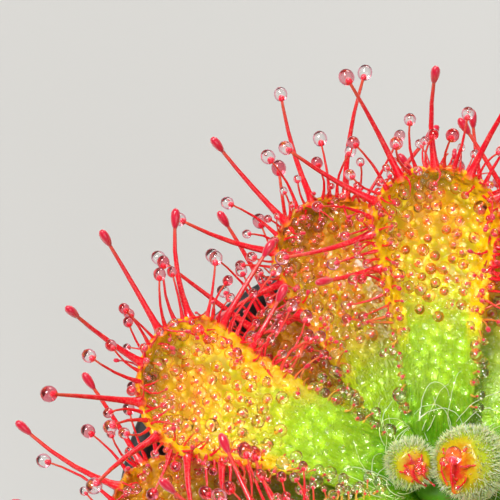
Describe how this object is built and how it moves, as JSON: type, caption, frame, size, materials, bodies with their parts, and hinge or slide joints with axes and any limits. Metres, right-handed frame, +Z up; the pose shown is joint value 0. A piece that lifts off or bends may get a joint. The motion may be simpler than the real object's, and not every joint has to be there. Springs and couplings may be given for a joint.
{
  "type": "sundew plant",
  "caption": "Sundew plant: a rosette of wedge-shaped leaves fringed with long, dew-tipped tentacles, growing from peat in a small round pot.",
  "frame": {"origin": "centre of the pot's flat base", "axes": "+Z up through the stem; the picture was taken from the -Y side, looking down"},
  "size_m": [0.0506, 0.0492, 0.0541],
  "materials": {
    "leaf": "glossy, moist",
    "young_leaf": "covered in fine hairs",
    "stem": "satin",
    "peat": "rough, damp",
    "pot": "satin"
  },
  "bodies": {
    "root": {"leaf_01": "leaf", "leaf_02": "leaf", "leaf_03": "leaf", "leaf_04": "leaf", "leaf_05": "leaf", "leaf_06": "leaf", "leaf_07": "leaf", "leaf_08": "leaf", "leaf_09": "leaf", "leaf_10": "leaf", "leaf_11": "leaf", "leaf_12": "leaf", "leaf_13": "leaf", "leaf_14": "leaf", "young_leaf_left": "young_leaf", "young_leaf_right": "young_leaf", "stem_and_root": "stem", "peat_soil": "peat", "pot": "pot"}
  },
  "joints": []
}
